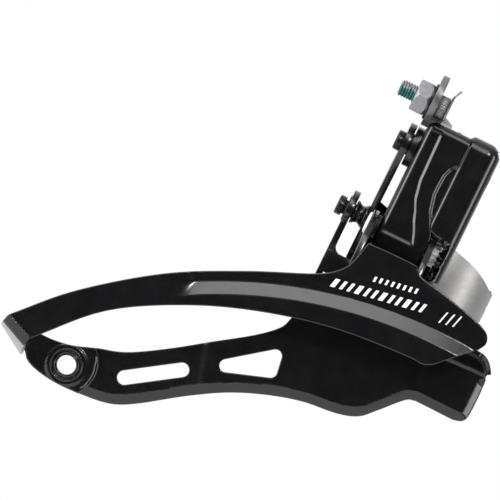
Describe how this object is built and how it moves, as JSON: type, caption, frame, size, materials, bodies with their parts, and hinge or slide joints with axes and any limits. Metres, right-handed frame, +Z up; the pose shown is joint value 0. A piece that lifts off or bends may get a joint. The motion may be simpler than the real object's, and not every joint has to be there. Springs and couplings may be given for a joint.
{
  "type": "bicycle front derailleur",
  "caption": "Clamp-on front derailleur: a sprung four-bar linkage on a hinged band carries a two-plate chain cage, pulled by a cable arm.",
  "frame": {"origin": "axis of the seat tube at the middle of the clamp strap", "axes": "+X to the front of the bicycle, +Y to its left (the drive side and the cage are at -Y), +Z up along the seat tube"},
  "size_m": [0.1283, 0.0629, 0.1244],
  "materials": {
    "gloss_black_paint": "gloss black paint on pressed steel",
    "brushed_band_steel": "brushed bright steel strap",
    "zinc_plated_steel": "satin zinc-plated steel",
    "black_oxide_steel": "black oxide steel",
    "bright_zinc": "bright zinc-plated steel",
    "spring_steel": "oiled spring steel wire",
    "bush_polymer": "dark plain-bearing polymer"
  },
  "bodies": {
    "bracket": {"body_bracket": "gloss_black_paint", "clamp_band_fixed": "brushed_band_steel", "body_rivets": "black_oxide_steel", "upper_pivot_pin": "black_oxide_steel", "lower_pivot_pin": "black_oxide_steel", "spacer_bush": "black_oxide_steel", "clamp_hinge_pin": "black_oxide_steel", "clamp_nut": "zinc_plated_steel", "return_spring": "spring_steel"},
    "clamp_swing": {"clamp_band_swing": "brushed_band_steel"},
    "clamp_bolt": {"clamp_bolt": "zinc_plated_steel", "clamp_washer": "zinc_plated_steel"},
    "low_screw": {"low_limit_screw": "black_oxide_steel"},
    "high_screw": {"high_limit_screw": "black_oxide_steel"},
    "outer_link": {"outer_link": "gloss_black_paint", "outer_link_bushes": "bush_polymer", "cable_arm": "zinc_plated_steel", "arm_rivets": "black_oxide_steel", "anchor_bolt": "zinc_plated_steel", "anchor_nut": "zinc_plated_steel", "anchor_washer": "black_oxide_steel", "cable_plate": "zinc_plated_steel"},
    "inner_link": {"inner_link": "gloss_black_paint", "inner_link_bushes": "bush_polymer"},
    "cage": {"outer_cage_plate": "gloss_black_paint", "inner_cage_plate": "gloss_black_paint", "cage_front_pin": "bright_zinc", "cage_rear_pin": "black_oxide_steel", "tail_rivet": "black_oxide_steel"}
  },
  "joints": [
    {"name": "outer_link_swing", "type": "hinge", "parent": "bracket", "child": "outer_link", "pos_m": [0, -0.031, 0.0335], "axis": [-1, 0, 0], "range_deg": [0, 44], "stiffness_Nm_per_rad": 0.12, "springref_deg": -40.11, "deforming": ["return_spring"]},
    {"name": "inner_link_swing", "type": "hinge", "parent": "bracket", "child": "inner_link", "pos_m": [0, -0.022, 0.0102], "axis": [-1, 0, 0], "range_deg": [0, 44]},
    {"name": "cage_swing", "type": "hinge", "parent": "outer_link", "child": "cage", "pos_m": [0, -0.031, 0.009], "axis": [-1, 0, 0], "range_deg": [-44, 0]},
    {"name": "clamp_hinge", "type": "hinge", "parent": "bracket", "child": "clamp_swing", "pos_m": [0.01416, 0.00885, 0], "axis": [0, 0, -1], "range_deg": [0, 4]},
    {"name": "clamp_bolt_slide", "type": "slide", "parent": "bracket", "child": "clamp_bolt", "axis": [0, 1, 0], "range_m": [0, 0.0032]},
    {"name": "low_limit_turn", "type": "hinge", "parent": "bracket", "child": "low_screw", "pos_m": [-0.021, -0.0159, -0.007], "axis": [0, 1, 0], "continuous": true},
    {"name": "high_limit_turn", "type": "hinge", "parent": "bracket", "child": "high_screw", "pos_m": [-0.0129, -0.0159, 0.04], "axis": [0, 1, 0], "continuous": true}
  ],
  "couplings": [
    {"joint": "inner_link_swing", "follows": "outer_link_swing", "ratio": 1},
    {"joint": "cage_swing", "follows": "outer_link_swing", "ratio": -1},
    {"joint": "clamp_bolt_slide", "follows": "clamp_hinge", "m_per_rad": 0.043}
  ]
}
